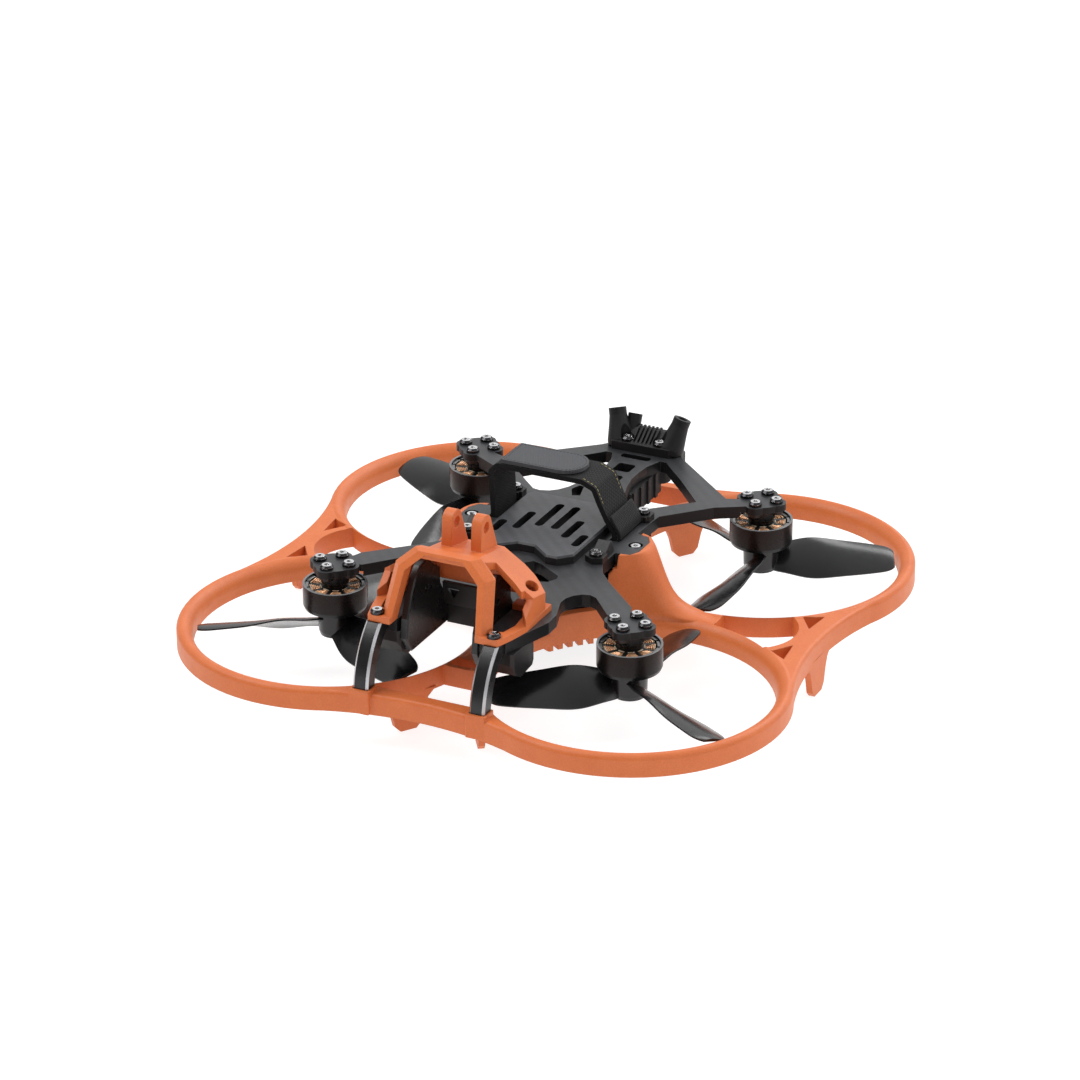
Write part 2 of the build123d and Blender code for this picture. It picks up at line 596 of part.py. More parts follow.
def cage_front():
    """Leaning front frame: two legs and a top bar, with their outer edges bevelled."""
    depth, shift = 2.5, 2.1

    def ring(outer, inner, y_add):
        line = outer + [(-x, z) for x, z in reversed(outer)]
        line += [(-x, z) for x, z in inner] + list(reversed(inner))
        points = [(x, -73.0 + CAGE_LEAN * (z - PLATE_TOP) + y_add, z) for x, z in line]
        return make_face(Polyline(*points, close=True))

    inner = [(12.6, PLATE_TOP), (10.8, 47.2), (5.6, 51.8)]
    crease = [(14.4, PLATE_TOP), (12.7, 48.2), (7.6, 52.7)]
    outer = [(14.4 + shift, PLATE_TOP), (12.7 + shift, 48.2), (7.6 + shift, 52.7)]
    face_front = ring(crease, inner, 0)
    face_mid = ring(outer, inner, depth)
    hidden = [(x - 0.9, z - 0.3) for x, z in outer]
    face_back = ring(hidden, inner, depth + 1.8)
    return loft([face_front, face_mid], ruled=True) + loft([face_mid, face_back], ruled=True)


def cage_feet():
    """Flat shoes on the nose beams, left side."""
    outline = [(12.6, -73.0), (19.2, -73.0), (20.9, -67.4), (22.3, -61.4), (22.3, -46.4),
               (12.6, -46.4), (12.6, -50.4), (18.4, -50.4), (18.8, -56.0), (19.3, -62.6),
               (18.2, -67.2), (15.0, -68.4), (12.6, -68.4)]
    return slab(outline, PLATE_TOP, CAGE_FOOT_TOP)


WING_SLOPE = 0.2            # the roof and shoulder drop this much per mm toward the tail
WING_OUT = 22.2


def shoulder_section(y):
    """Section across the left shoulder: sloping sheet and outer wall."""
    drop = WING_SLOPE * (y + 50.0)
    inner, outer = 49.5 - drop, 39.9 - drop
    points = [(0, y, inner), (7.6, y, inner), (WING_OUT, y, outer), (WING_OUT, y, PLATE_TOP - 1),
              (WING_OUT - 2.0, y, PLATE_TOP - 1), (WING_OUT - 2.0, y, outer - 0.9), (7.2, y, inner - 2.0),
              (0, y, inner - 2.0)]
    return make_face(Polyline(*points, close=True))


def cage_wing():
    """Roof, sloping shoulder, outer wall and rear wall of the left half, behind the front frame."""
    y_front, y_rear = -66.0, -43.0
    sheet = loft([shoulder_section(y_front), shoulder_section(y_rear)], ruled=True)
    plan = [(0, -65.2), (7.6, -65.2), (9.4, -59.8), (10.4, -55.6), (17.0, -57.6), (19.6, -59.0),
            (WING_OUT + 0.1, -62.0), (WING_OUT + 0.1, -50.0), (19.4, -47.3), (17.1, -45.8), (13.8, -44.8),
            (0, -45.0)]
    sheet &= slab(plan, PLATE_TOP, 60)
    wall_front = side_slab([(-64.0, PLATE_TOP + 1.6), (-57.2, 40.8), (-57.2, 60), (-70, 60),
                            (-70, PLATE_TOP + 1.6)], WING_OUT - 2.6, WING_OUT + 1)
    sheet -= wall_front
    rear_plan = [(0, -45.0), (13.8, -44.8), (17.1, -45.8), (19.4, -47.3), (WING_OUT, -50.0),
                 (WING_OUT, -52.4), (18.2, -48.9), (16.2, -47.5), (13.2, -46.6), (0, -46.7)]
    rear = slab(rear_plan, PLATE_TOP, 52)
    rear -= block(0, 14.6, -50, -40, 0, 36.4)
    above = loft([cap_section(y_front), cap_section(y_rear)], ruled=True)
    rear -= above
    window = Pos(18.9, -52.0, 41.6) * Rot(0, 33.5, 0) * extrude(Ellipse(1.9, 2.9), 8, both=True)
    return (sheet + rear) - window


def cap_section(y):
    """Everything above the roof and shoulder at one station, used to trim the rear wall."""
    drop = WING_SLOPE * (y + 50.0)
    inner, outer = 49.5 - drop, 39.9 - drop
    points = [(-1, y, inner), (7.6, y, inner), (WING_OUT + 2, y, outer - 1.3), (WING_OUT + 2, y, 70), (-1, y, 70)]
    return make_face(Polyline(*points, close=True))


def cage_ear():
    """Rounded mounting ear, as a solid centred on x = 0."""
    nose = ThreePointArc((0, -54.9, 57.4), (0, -52.1, 60.1), (0, -49.2, 57.8))
    lines = [Line((0, -55.6, 49.0), (0, -54.9, 57.4)), nose, Line((0, -49.2, 57.8), (0, -45.0, 47.4)),
             Line((0, -45.0, 47.4), (0, -55.6, 49.0))]
    return extrude(make_face(lines), EAR_T / 2, dir=(1, 0, 0), both=True)


EAR_X = 4.4
EAR_T = 3.0
EAR_BORE_Y, EAR_BORE_Z, EAR_BORE_R = -52.0, 56.5, 1.6


def camera_cage():
    """Printed nose cage with two ears for an action camera."""
    half = cage_feet() + cage_wing()
    cage = half + mirror(half, Plane.YZ)
    cage += cage_front()
    for sx in (-1, 1):
        cage += Pos(sx * EAR_X, 0, 0) * cage_ear()
    bore = Pos(0, EAR_BORE_Y, EAR_BORE_Z) * Rot(0, 90, 0) * Cylinder(EAR_BORE_R, 40)
    cage -= bore
    for sx in (-1, 1):
        cage -= disc(FREE_HOLE, 30, 40, sx * CAGE_SCREW_X, CAGE_SCREW_Y)
        cage -= disc(HEAD_R + 0.2, CAGE_FOOT_TOP, 37.5, sx * CAGE_SCREW_X, CAGE_SCREW_Y)
    return cage


CAMERA_PLATE_IN = 9.6
CAMERA_PLATE_OUT = 11.6


def camera_side_plate(sx):
    """Upright plate that carries the camera, with a round shoulder and a lug over the nose beam."""
    outline = [(-66.6, 23.4), (-69.0, 27.7), (-68.2, 33.2), (-65.6, 39.6), (-63.4, 43.2), (-60.4, 45.8),
               (-57.2, 46.1), (-54.2, 44.8), (-49.0, 40.9), (-48.8, 36.3), (-46.8, PLATE_TOP),
               (-46.6, PLATE_BOTTOM - 0.4), (-41.6, PLATE_BOTTOM - 0.4), (-40.9, 27.4), (-42.6, 24.4),
               (-44.8, 22.8), (-65.6, 22.8)]
    x0, x1 = (CAMERA_PLATE_IN, CAMERA_PLATE_OUT) if sx > 0 else (-CAMERA_PLATE_OUT, -CAMERA_PLATE_IN)
    plate = side_slab(outline, x0, x1)
    faces = plate.faces().filter_by(Axis.X)
    plate = chamfer(faces.sort_by(Axis.X)[-1].edges(), 0.4)
    return plate - Pos(0, -57.0, 38.0) * Rot(0, 90, 0) * Cylinder(1.05, 40)


def camera_crossbox():
    """Folded box between the side plates, with a triangular window on each side."""
    inside = CAMERA_PLATE_IN
    low = PLATE_BOTTOM - 0.4
    box = side_slab([(-48.0, 36.0), (-46.8, 36.0), (-46.8, low), (-42.6, low), (-42.6, 22.8),
                     (-45.4, 22.8), (-45.4, 28.6), (-47.0, 29.2)], -inside, inside)
    for sx in (-1, 1):
        hole = slab([(sx * 8.4, 34.2), (sx * 4.6, 34.2), (sx * 6.6, 31.2)], -60, 60)
        box -= Rot(90, 0, 0) * hole
    return box


# ---------------------------------------------------------------- battery deck and strap
DECK_TOP = 35.8


def battery_plate():
    """Deck for the battery, with six slots and a notch at the front."""
    half = [(0, -16.0), (2.5, -16.0), (8.0, -20.6), (11.5, -20.6), (15.0, -17.0), (15.0, 15.2),
            (13.4, 17.2), (0, 17.2)]
    outline = half + [(-x, y) for x, y in reversed(half[1:-1])]
    deck = slab(outline, PLATE_TOP, DECK_TOP)
    deck = chamfer(deck.edges().group_by(Axis.Z)[-1], 0.5)
    for x, y0, y1 in ((2.5, -4.0, 12.0), (7.5, -8.0, 4.0), (12.5, -12.0, -4.0)):
        for sx in (-1, 1):
            slot = extrude(SlotOverall(y1 - y0, 2.5, rotation=90), 10)
            deck -= Pos(sx * x, (y0 + y1) / 2, PLATE_TOP - 2) * slot
    return deck


STRAP_Y = (1.6, 15.0)
STRAP_T = 1.5
STRAP_TOP = 49.6
PATCH_T = 1.1


def battery_strap():
    """Webbing loop that stands over the deck and returns under the top plate."""
    under = PLATE_BOTTOM - 0.2 - STRAP_T / 2
    top = STRAP_TOP - STRAP_T / 2
    route = [(18.6, under), (18.5, 35.0), (16.1, 38.6), (14.0, 42.8), (12.1, top - 1.6), (8.4, top),
             (-17.6, top + 0.1), (-19.6, top - 2.0), (-18.9, 35.0), (-18.9, under)]
    line = FilletPolyline(*[(x, STRAP_Y[0], z) for x, z in route], radius=1.2, close=True)
    face = make_face(line)
    loop = offset(face, STRAP_T / 2).face() - offset(face, -STRAP_T / 2).face()
    return extrude(loop, STRAP_Y[1] - STRAP_Y[0], dir=(0, 1, 0))


def strap_patch():
    """Grippy panel sewn on top of the strap, round at its left-hand end."""
    mid = (STRAP_Y[0] + STRAP_Y[1]) / 2
    radius = (STRAP_Y[1] - STRAP_Y[0]) / 2 - 0.3
    z0 = STRAP_TOP + 0.3
    bar = block(-16.4, 0.6, mid - radius, mid + radius, z0, z0 + PATCH_T)
    return bar + disc(radius, z0, z0 + PATCH_T, 0.6, mid)


CLIP_H = 1.8


def strap_clip(x, y, rear):
    """Bracket beside the strap: a hexagonal boss with a short ramp toward the webbing."""
    boss = extrude(RegularPolygon(3.1, 6, rotation=30), CLIP_H)
    body = Pos(0, 0.2, 0) * boss
    body += side_slab([(1.5, 0), (7.6 if not rear else 2.7, 0), (7.6 if not rear else 2.7, 1.0),
                       (5.6 if not rear else 2.7, 3.9 if not rear else 1.8), (2.2, CLIP_H)], -1.9, 1.9)
    body -= disc(FREE_HOLE, -1, 5)
    return Pos(x, y, PLATE_TOP) * Rot(0, 0, 180 if rear else 0) * body


def clip_nut(x, y):
    """Nut under the top plate."""
    nut = extrude(RegularPolygon(2.3, 6), 1.6) - Cylinder(TAP_HOLE, 10)
    return Pos(x, y, PLATE_BOTTOM - 1.6) * nut


# ---------------------------------------------------------------- tail
TUBE_TIP = (10.4, 66.0, 43.4)
TUBE_FOOT = (7.6, 62.9, 33.6)
TUBE_OUT = 2.6
TUBE_FLARE = 3.9
TUBE_BORE = 1.4


def leaning_tube(sx, low_radius, radius, overrun=0.0):
    """Round bar along a tail tube's axis, tapered if its two radii differ."""
    start = Vector(sx * TUBE_FOOT[0], TUBE_FOOT[1], TUBE_FOOT[2])
    end = Vector(sx * TUBE_TIP[0], TUBE_TIP[1], TUBE_TIP[2])
    axis = (end - start).normalized()
    length = (end - start).length + overrun
    profile = [(0, 0), (low_radius, 0), (low_radius, 1.5), ((low_radius + 2 * radius) / 3, length * 0.55),
               (radius, length * 0.8), (radius, length), (0, length)]
    return Plane(origin=start, z_dir=axis) * turned(profile)


THIRD_TUBE_X = -5.7


def antenna_mount():
    """Rubber tail mount with two splayed antenna tubes, a rear tube and a ribbed middle."""
    base = slab([(-10.2, 61.0), (-9.0, 59.2), (9.0, 59.2), (10.2, 61.0), (10.2, 66.4), (8.8, 67.6),
                 (-8.8, 67.6), (-10.2, 66.4)], PLATE_TOP, 35.8)
    base += side_slab([(62.2, 35.8), (67.4, 35.8), (67.4, 38.4), (65.6, 38.4)], -5.4, 5.4)
    for k in range(6):
        x = -3.2 + 1.28 * k
        base += side_slab([(60.2, 35.8), (67.4, 35.8), (67.4, 38.9), (65.0, 38.9)], x - 0.32, x + 0.32)
    for sx in (-1, 1):
        base += leaning_tube(sx, TUBE_FLARE, TUBE_OUT)
    base += Pos(THIRD_TUBE_X, 66.8, 37.4) * Rot(-24, 0, 0) * Cylinder(2.1, 8.6)
    base &= block(-20, 20, 50, 75, PLATE_TOP, 60)
    for sx in (-1, 1):
        base -= disc(FREE_HOLE, 30, 37, sx * ANTENNA_SCREW_X, ANTENNA_SCREW_Y)
        base -= disc(HEAD_R + 0.15, 35.8, 45, sx * ANTENNA_SCREW_X, ANTENNA_SCREW_Y)
        base -= leaning_tube(sx, TUBE_BORE, TUBE_BORE, 1.0) - block(-20, 20, 50, 75, 30, 35.0)
    base -= Pos(THIRD_TUBE_X, 68.4, 41.2) * Rot(-24, 0, 0) * Cylinder(1.2, 6.0)
    return base


REAR_HALF_W = 6.6
REAR_Y = (38.5, 59.6)
REAR_BOTTOM = 22.4


def rear_bracket():
    """Ribbed rubber cradle under the tail, screwed up into the antenna mount's screws."""
    wall, floor = 1.5, 1.0
    y0, y1 = REAR_Y
    cradle = block(-REAR_HALF_W, REAR_HALF_W, y0, y1, REAR_BOTTOM, PLATE_BOTTOM)
    cradle -= block(-REAR_HALF_W + wall, REAR_HALF_W - wall, y0 - 1, y1 - wall, REAR_BOTTOM + floor,
                    PLATE_BOTTOM)
    for sx in (-1, 1):
        for k in range(4):
            y = y0 + 1.0 + 5.0 * k
            x = sx * REAR_HALF_W
            cradle += block(x - 0.6, x + 0.6, y, y + 1.5, REAR_BOTTOM, PLATE_BOTTOM)
        cradle += disc(3.3, 25.0, PLATE_BOTTOM, sx * ANTENNA_SCREW_X, ANTENNA_SCREW_Y)
    for sx in (-1, 1):
        cradle -= disc(TAP_HOLE, 20, 40, sx * ANTENNA_SCREW_X, ANTENNA_SCREW_Y)
    return cradle


def video_transmitter():
    """Shielded radio module that lies in the rear cradle."""
    half_w = REAR_HALF_W - 1.5 - 0.3
    z0 = REAR_BOTTOM + 1.0
    y0, y1 = REAR_Y[0] + 1.0, REAR_Y[1] - 2.4
    board = block(-half_w, half_w, y0, y1, z0, z0 + 1.0)
    return board + block(-half_w + 0.8, half_w - 0.8, y0 + 3.4, y1 - 0.8, z0 + 1.0, z0 + 3.4)


# ---------------------------------------------------------------- electronics
BOARD_Z = (21.0, 22.6)
BOARD = 33.0


def flight_controller():
    """Square flight controller board, turned so that its corners point along X and Y."""
    board = Pos(0, 0, BOARD_Z[0]) * extrude(RectangleRounded(BOARD, BOARD, 2.0, rotation=45), 1.6)
    for x, y in around_axes(STACK_AT):
        board -= disc(1.95, 0, 40, x, y)
    return board


def board_parts():
    """Chips and the USB shell on the board."""
    z = BOARD_Z[1]
    sizes = [(0, 0, 6.0, 6.0, 1.0), (5.8, -4.0, 3.0, 4.0, 0.8), (-6.0, 4.4, 4.0, 4.0, 1.0),
             (-5.6, -5.0, 3.0, 3.0, 0.9), (4.6, 5.2, 4.0, 2.4, 1.1)]
    chips = [block(x - w / 2, x + w / 2, y - d / 2, y + d / 2, z, z + h) for x, y, w, d, h in sizes]
    usb = Rot(0, 0, 45) * block(10.2, 16.8, -4.3, 4.3, z, z + 3.0)
    under = [block(x - 2.4, x + 2.4, y - 2.4, y + 2.4, BOARD_Z[0] - 0.9, BOARD_Z[0])
             for x, y in ((7, 7), (-7, 7), (7, -7), (-7, -7))]
    return chips + [usb] + under


def board_connectors():
    """White wire-to-board sockets, open toward the board's edge."""
    z = BOARD_Z[1]
    sockets = []
    for angle in (135, 225, 315):
        shell = block(12.0, 16.2, -3.4, 3.4, z, z + 3.2) - block(12.8, 17.0, -2.7, 2.7, z + 0.6, z + 2.7)
        sockets.append(Rot(0, 0, angle) * shell)
    return sockets


def stack_hardware():
    """Spacers, soft grommets, screws and nuts that hold the board over the floor."""
    spacers, grommets, screws = [], [], []
    z0, z1 = BOARD_Z
    for x, y in around_axes(STACK_AT):
        hole = disc(M2_R + 0.02, 0, 40, x, y)
        spacers.append(disc(2.2, BOTTOM_PLATE_Z[1], z0 - 1.0, x, y) - hole)
        soft = disc(2.9, z0 - 1.0, z1 + 1.0, x, y) - (disc(3.5, z0, z1, x, y) - disc(1.95, z0, z1, x, y))
        grommets.append(soft - hole)
        screws.append(button_screw(x, y, BOTTOM_PLATE_Z[0], z1 + 2.9 - BOTTOM_PLATE_Z[0], up=-1))
        nut = Pos(x, y, z1 + 1.0) * extrude(RegularPolygon(2.3, 6), 1.6)
        spacers.append(nut - hole)
    return spacers, grommets, screws


# ---------------------------------------------------------------- write every node
os.makedirs("parts", exist_ok=True)
build_motors()
save(top_plate(), "top_plate")
save(bottom_plate(), "bottom_plate")
save(prop_guard(), "prop_guard")
save(group([front_strut(sign) for sign in (-1, 1)]), "front_struts")
save(group([camera_side_plate(sign) for sign in (-1, 1)]), "camera_side_plates")
save(group(strut_brackets()), "strut_brackets")
save(camera_cage(), "camera_cage")
save(camera_crossbox(), "camera_crossbox")
save(battery_plate(), "battery_plate")
save(battery_strap(), "battery_strap")
save(strap_patch(), "strap_patch")
save(group([strap_clip(x, y, y > 0) for x, y in CLIP_SCREWS]), "strap_clips")
save(group([button_screw(x, y, PLATE_TOP + CLIP_H, CLIP_H + PLATE_T + 1.6) for x, y in CLIP_SCREWS]),
     "clip_screws")
save(group([clip_nut(x, y) for x, y in CLIP_SCREWS]), "clip_nuts")
save(group([button_screw(sx * CAGE_SCREW_X, CAGE_SCREW_Y, CAGE_FOOT_TOP, 6.0) for sx in (-1, 1)]),
     "cage_screws")
tab_screws = [button_screw(sx * TAB_SCREW_X, TAB_SCREW_Y, PLATE_TOP - HEAD_H, GUARD_SCREW_L)
              for sx in (-1, 1)]
floor_screws = [button_screw(x, y, BOTTOM_PLATE_Z[0], GUARD_SCREW_L, up=-1) for x, y in around_axes(LUG_AT)]
save(group(tab_screws + floor_screws), "guard_screws")
save(antenna_mount(), "antenna_mount")
save(group([button_screw(sx * ANTENNA_SCREW_X, ANTENNA_SCREW_Y, 35.8, 10.0) for sx in (-1, 1)]),
     "antenna_screws")
save(rear_bracket(), "rear_bracket")
save(video_transmitter(), "video_transmitter")
save(flight_controller(), "flight_controller")
save(group(board_parts()), "board_parts")
save(group(board_connectors()), "board_connectors")
stack_spacers, stack_grommets, stack_screws = stack_hardware()
save(group(stack_spacers), "stack_spacers")
save(group(stack_grommets), "stack_grommets")
save(group(stack_screws), "stack_screws")
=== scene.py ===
import bpy
import bmesh
import json
import math
import random
from math import cos, pi, radians, sin
from mathutils import Matrix, Vector


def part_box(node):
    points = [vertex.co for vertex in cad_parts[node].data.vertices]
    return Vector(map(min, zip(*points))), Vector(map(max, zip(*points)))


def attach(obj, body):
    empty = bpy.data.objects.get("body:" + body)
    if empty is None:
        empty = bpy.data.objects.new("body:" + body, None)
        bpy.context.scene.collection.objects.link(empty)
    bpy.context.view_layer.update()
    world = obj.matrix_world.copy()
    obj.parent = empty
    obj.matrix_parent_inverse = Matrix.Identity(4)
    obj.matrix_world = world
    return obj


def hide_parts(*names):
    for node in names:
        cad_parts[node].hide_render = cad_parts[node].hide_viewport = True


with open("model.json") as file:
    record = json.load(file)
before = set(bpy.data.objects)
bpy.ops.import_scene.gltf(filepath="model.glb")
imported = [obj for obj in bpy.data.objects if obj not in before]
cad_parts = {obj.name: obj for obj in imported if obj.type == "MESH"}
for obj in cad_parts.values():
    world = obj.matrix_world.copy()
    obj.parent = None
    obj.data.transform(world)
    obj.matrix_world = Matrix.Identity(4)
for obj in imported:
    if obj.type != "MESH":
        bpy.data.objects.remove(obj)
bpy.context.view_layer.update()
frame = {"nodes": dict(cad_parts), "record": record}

nodes = frame["nodes"]
CORNERS = ("front_left", "front_right", "rear_left", "rear_right")


# ---------------------------------------------------------------- camera
CAMERA_AZIMUTH = radians(25.893)
CAMERA_ELEVATION = radians(24.669)
CAMERA_ROLL = radians(-0.199)
CAMERA_PLACE = (0.46825, -0.97195, 0.52576)


def make_camera():
    """Camera at the photograph's viewing angle."""
    azimuth, elevation, roll = CAMERA_AZIMUTH, CAMERA_ELEVATION, CAMERA_ROLL
    back = Vector((sin(azimuth) * cos(elevation), -cos(azimuth) * cos(elevation), sin(elevation)))
    right = Vector((cos(azimuth), sin(azimuth), 0))
    up = back.cross(right)
    right_rolled = right * cos(roll) + up * sin(roll)
    up_rolled = up * cos(roll) - right * sin(roll)
    data = bpy.data.cameras.new("camera")
    data.lens = 141.97
    data.sensor_width = 36
    data.clip_start = 0.01
    data.clip_end = 20
    camera = bpy.data.objects.new("camera", data)
    matrix = Matrix((right_rolled, up_rolled, back)).transposed().to_4x4()
    matrix.translation = Vector(CAMERA_PLACE)
    camera.matrix_world = matrix
    bpy.context.scene.collection.objects.link(camera)
    bpy.context.scene.camera = camera


# ---------------------------------------------------------------- node helpers
class Nodes:
    """A material being built, with short names for the nodes it uses."""

    def __init__(self, name):
        self.material = bpy.data.materials.new(name)
        self.material.use_nodes = True
        self.tree = self.material.node_tree
        self.shader = self.tree.nodes["Principled BSDF"]
        self.coords = self.tree.nodes.new("ShaderNodeTexCoord")
        self.place = self.coords.outputs["Object"]
        self.rounded = None

    def link(self, source, target):
        self.tree.links.new(source, target)

    def put(self, value, socket):
        """Link a node output, or set a plain value."""
        if isinstance(value, bpy.types.NodeSocket):
            self.link(value, socket)
        else:
            socket.default_value = value

    def noise(self, scale, detail=3.0, rough=0.5):
        node = self.tree.nodes.new("ShaderNodeTexNoise")
        node.inputs["Scale"].default_value = scale
        node.inputs["Detail"].default_value = detail
        node.inputs["Roughness"].default_value = rough
        self.link(self.place, node.inputs["Vector"])
        return node.outputs["Fac"]

    def math(self, operation, a, b=0.0, c=0.0):
        node = self.tree.nodes.new("ShaderNodeMath")
        node.operation = operation
        self.put(a, node.inputs[0])
        self.put(b, node.inputs[1])
        self.put(c, node.inputs[2])
        return node.outputs[0]

    def split(self):
        node = self.tree.nodes.new("ShaderNodeSeparateXYZ")
        self.link(self.place, node.inputs[0])
        return node.outputs

    def range(self, value, low, high, to_low, to_high):
        node = self.tree.nodes.new("ShaderNodeMapRange")
        self.put(value, node.inputs["Value"])
        node.inputs["From Min"].default_value = low
        node.inputs["From Max"].default_value = high
        node.inputs["To Min"].default_value = to_low
        node.inputs["To Max"].default_value = to_high
        return node.outputs["Result"]

    def mix(self, factor, a, b):
        node = self.tree.nodes.new("ShaderNodeMix")
        node.data_type = "RGBA"
        self.put(factor, node.inputs["Factor"])
        self.put(a, node.inputs[6])
        self.put(b, node.inputs[7])
        return node.outputs[2]

    def top_face(self, low=0.6, high=0.9):
        """1 on faces that look up in the node's own axes, 0 on sides and undersides."""
        parts = self.tree.nodes.new("ShaderNodeSeparateXYZ")
        self.link(self.coords.outputs["Normal"], parts.inputs[0])
        return self.range(parts.outputs["Z"], low, high, 0.0, 1.0)

    def side_lean(self):
        """How far a face looks along X, from 0 to 1."""
        parts = self.tree.nodes.new("ShaderNodeSeparateXYZ")
        self.link(self.coords.outputs["Normal"], parts.inputs[0])
        return self.math("ABSOLUTE", parts.outputs["X"])

    def soften(self, radius):
        """Round the look of sharp edges, and return a mask of them."""
        bevel = self.tree.nodes.new("ShaderNodeBevel")
        bevel.samples = 4
        bevel.inputs["Radius"].default_value = radius
        flat = self.tree.nodes.new("ShaderNodeNewGeometry")
        dot = self.tree.nodes.new("ShaderNodeVectorMath")
        dot.operation = "DOT_PRODUCT"
        self.link(bevel.outputs["Normal"], dot.inputs[0])
        self.link(flat.outputs["Normal"], dot.inputs[1])
        self.rounded = bevel.outputs["Normal"]
        return self.range(dot.outputs["Value"], 0.97, 0.80, 0.0, 1.0)

    def bump(self, height, distance, strength=1.0):
        node = self.tree.nodes.new("ShaderNodeBump")
        node.inputs["Distance"].default_value = distance
        node.inputs["Strength"].default_value = strength
        self.put(height, node.inputs["Height"])
        if self.rounded:
            self.link(self.rounded, node.inputs["Normal"])
        self.link(node.outputs["Normal"], self.shader.inputs["Normal"])

    def set(self, name, value):
        self.put(value, self.shader.inputs[name])


def rgba(red, green, blue):
    """Linear colour from 0-255 display values."""
    def linear(v):
        v /= 255
        return v / 12.92 if v <= 0.04045 else ((v + 0.055) / 1.055) ** 2.4
    return (linear(red), linear(green), linear(blue), 1.0)


def grained(name, dark, light, rough, grain=3500, depth=0.00003, metallic=0.0, edge=None, wear=0.5,
            radius=0.00025, shine=0.5, speck=160):
    """Moulded or coated surface: slow tint changes, fine grain, uneven gloss and softly worn edges."""
    n = Nodes(name)
    mask = n.soften(radius)
    cloud = n.noise(speck, 4.0, 0.6)
    colour = n.mix(n.range(cloud, 0.3, 0.7, 0.0, 1.0), dark, light)
    fine = n.range(n.noise(grain, 2.0, 0.5), 0.3, 0.7, 0.0, 1.0)
    colour = n.mix(n.math("MULTIPLY", fine, 0.12), colour, (0.0, 0.0, 0.0, 1.0))
    if edge:
        worn = n.math("MULTIPLY", mask, n.range(n.noise(900), 0.35, 0.65, 0.4 * wear, wear))
        colour = n.mix(worn, colour, edge)
    n.set("Base Color", colour)
    n.set("Metallic", metallic)
    n.set("Specular IOR Level", shine)
    n.set("Roughness", n.range(n.noise(500, 5.0, 0.65), 0.3, 0.7, rough - 0.05, rough + 0.05))
    n.bump(n.noise(grain, 2.0, 0.5), depth, 0.5)
    return n


TOW_WIDTH = 0.0011          # one bundle of carbon fibres in the twill
PLY_THICKNESS = 0.00026     # one layer on a machined side
LATHE_PITCH = 0.00018       # turning marks on a motor bell


def laminate(name, face_dark, face_light, side, rough):
    """Carbon laminate: satin twill on its faces and dark, glossy machined sides with faint layers."""
    n = Nodes(name)
    mask = n.soften(0.0002)
    axes = n.split()
    across = n.math("FLOOR", n.math("DIVIDE", axes["X"], TOW_WIDTH))
    along = n.math("FLOOR", n.math("DIVIDE", axes["Y"], TOW_WIDTH))
    step = n.math("FLOORED_MODULO", n.math("ADD", across, along), 4.0)
    over = n.math("LESS_THAN", step, 2.0)
    cloud = n.range(n.noise(120, 4.0, 0.6), 0.3, 0.7, 0.0, 1.0)
    face = n.mix(n.math("MULTIPLY_ADD", over, 0.35, n.math("MULTIPLY", cloud, 0.5)), face_dark, face_light)
    layers = n.range(n.math("SINE", n.math("MULTIPLY", axes["Z"], 2 * pi / PLY_THICKNESS)), -1.0, 1.0, 0.0, 0.5)
    edge_colour = n.mix(layers, side, face_dark)
    top = n.top_face()
    colour = n.mix(top, edge_colour, face)
    colour = n.mix(n.math("MULTIPLY", mask, 0.35), colour, rgba(120, 122, 126))
    n.set("Base Color", colour)
    n.set("Specular IOR Level", n.range(top, 0.0, 1.0, 0.25, 0.5))
    gloss = n.range(n.noise(420, 5.0, 0.65), 0.3, 0.7, rough - 0.04, rough + 0.05)
    n.set("Roughness", n.math("ADD", gloss, n.range(top, 0.0, 1.0, 0.05, 0.0)))
    n.bump(n.math("ADD", n.math("MULTIPLY", over, 0.3), n.noise(3200, 2.0, 0.5)), 0.000015, 0.4)
    return n


def woven(name, dark, light, pitch_along, pitch_across, rough):
    """Webbing: rows of threads that cross over and under, with fuzz; the hollows between threads carry painted shade.
    """
    n = Nodes(name)
    axes = n.split()
    run = n.math("ADD", axes["X"], axes["Z"])
    u = n.math("MULTIPLY", run, pi / pitch_along)
    row = n.math("FLOOR", n.math("DIVIDE", axes["Y"], pitch_across))
    v = n.math("MULTIPLY", axes["Y"], pi / pitch_across)
    shifted = n.math("ADD", u, n.math("MULTIPLY", row, pi / 2))
    over, under = (n.math("ABSOLUTE", n.math("SINE", wave)) for wave in (shifted, v))
    crown = n.math("MULTIPLY", over, under)
    fuzz = n.noise(6000, 2.0, 0.6)
    # Base colour follows thread height: crowns lighter, hollows between threads painted darker as shade, plus fuzz.
    n.set("Base Color", n.mix(n.math("MULTIPLY_ADD", crown, 0.7, n.math("MULTIPLY", fuzz, 0.3)), dark, light))
    n.set("Roughness", n.range(fuzz, 0.3, 0.7, rough - 0.06, rough + 0.06))
    n.set("Specular IOR Level", 0.25)
    n.set("Sheen Weight", 0.05)
    n.bump(n.math("MULTIPLY_ADD", fuzz, 0.25, crown), 0.00012, 0.9)
    return n


def machined_bell(name):
    """Black anodised motor can with a bare turned rim and faint lathe lines."""
    n = grained(name, rgba(8, 9, 10), rgba(12, 13, 14), 0.30, edge=rgba(96, 97, 100), wear=0.7,
                radius=0.0003, shine=0.32, depth=0.00001)
    lathe = n.math("SINE", n.math("MULTIPLY", n.split()["Z"], 2 * pi / LATHE_PITCH))
    top = n.top_face(0.8, 0.95)
    base = n.shader.inputs["Base Color"].links[0].from_socket
    n.set("Base Color", n.mix(n.math("MULTIPLY", top, 0.75), base, rgba(150, 150, 152)))
    n.bump(n.math("MULTIPLY_ADD", lathe, 0.4, n.noise(3000, 2.0, 0.5)), 0.00001, 0.5)
    return n


